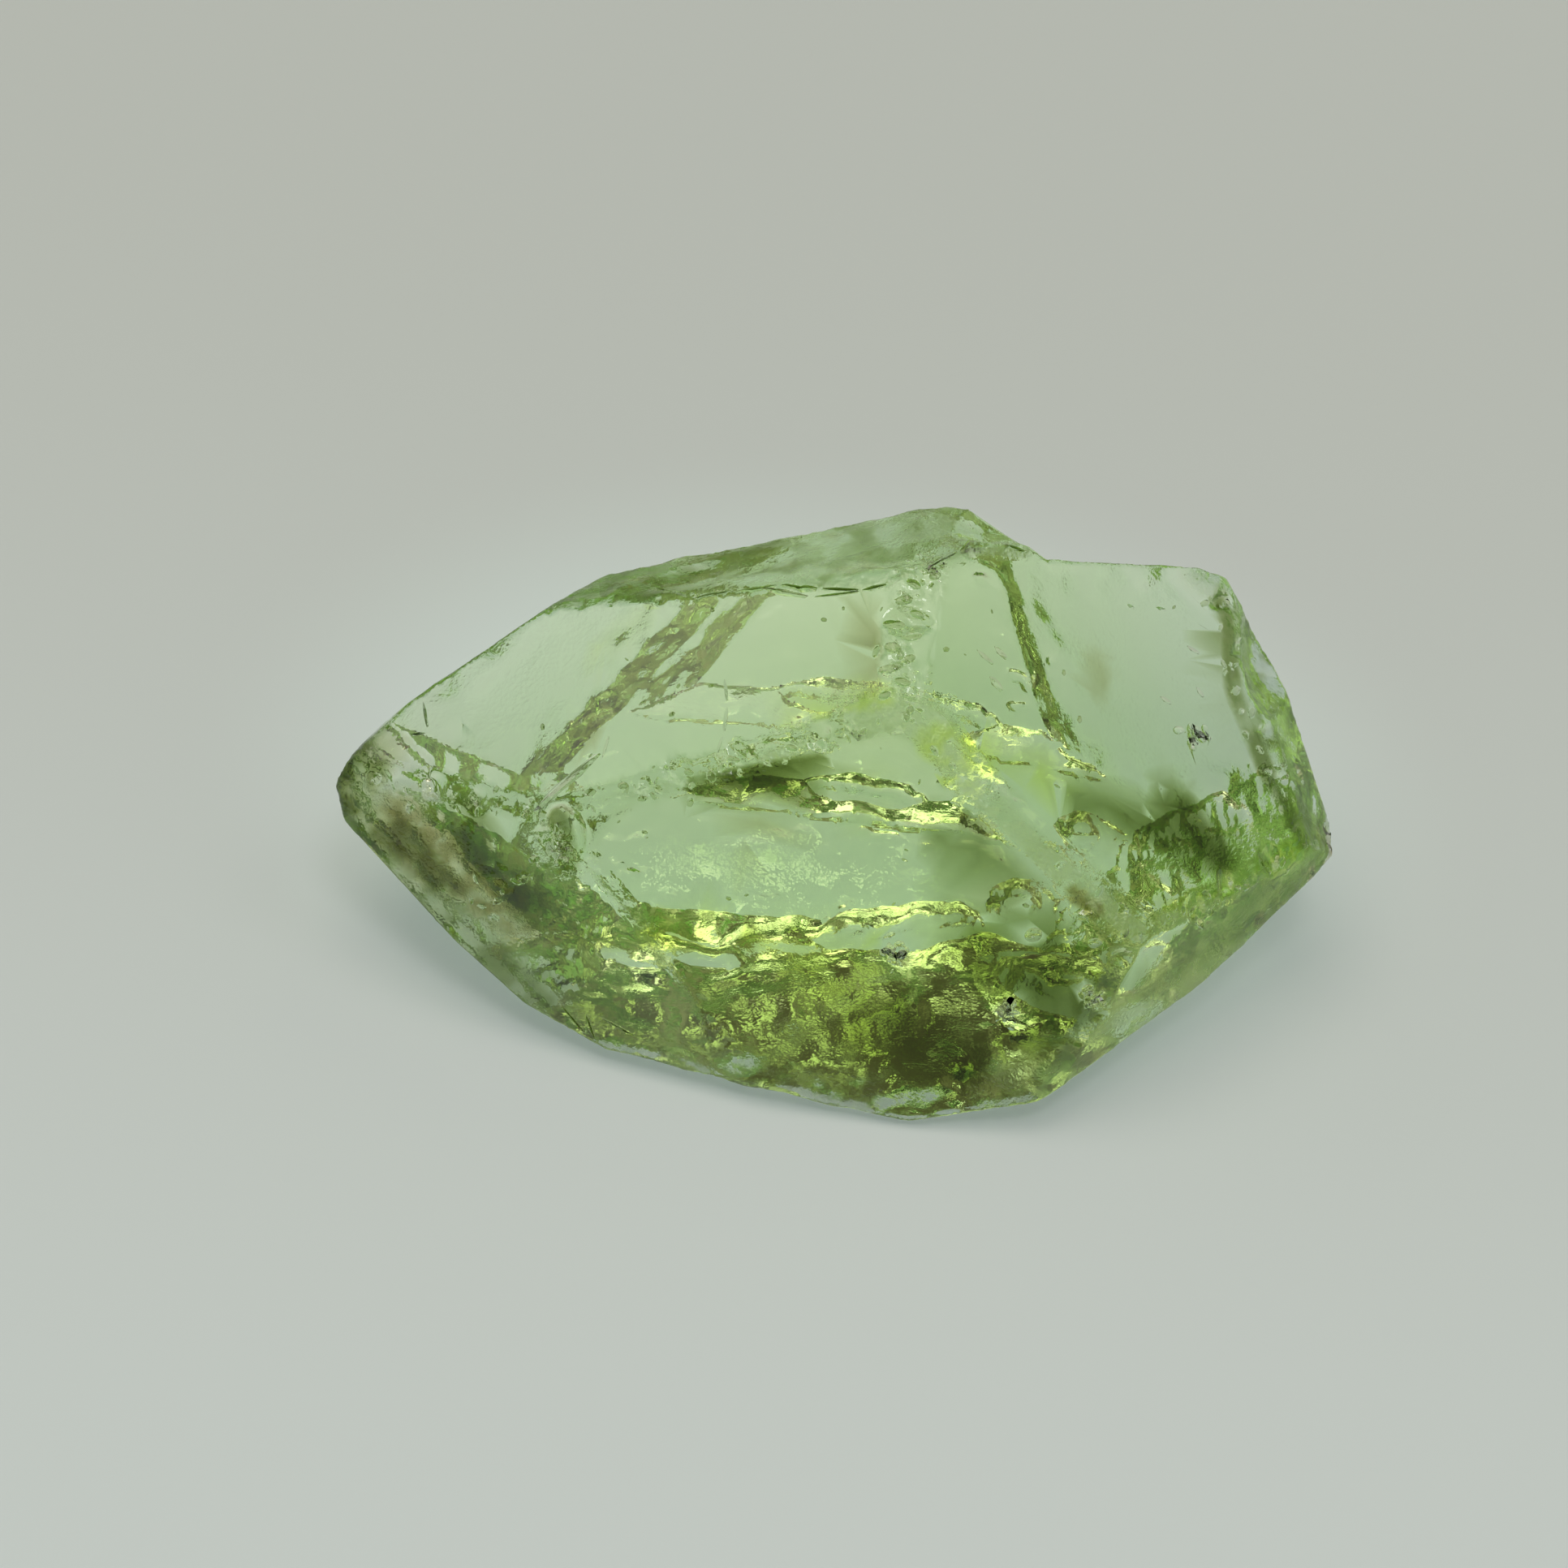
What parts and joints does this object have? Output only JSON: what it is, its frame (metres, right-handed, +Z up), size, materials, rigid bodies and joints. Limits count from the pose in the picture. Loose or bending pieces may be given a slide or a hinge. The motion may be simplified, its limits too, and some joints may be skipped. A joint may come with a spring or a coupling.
{
  "type": "faceted tourmaline preform",
  "caption": "Small clear pale green tourmaline ground to large flat faces with worn, chipped ridges, lying on its largest flat.",
  "frame": {"origin": "middle of the stone's box, on the surface that the stone lies on", "axes": "+X along the stone's length, from its narrow tip to its broad end; +Z up; the pictured side faces -Y and up"},
  "size_m": [0.0132, 0.0072, 0.0057],
  "materials": {
    "tourmaline": "ground and half polished, frosted along worn ridges"
  },
  "bodies": {
    "root": {"tourmaline": "tourmaline"}
  },
  "joints": []
}
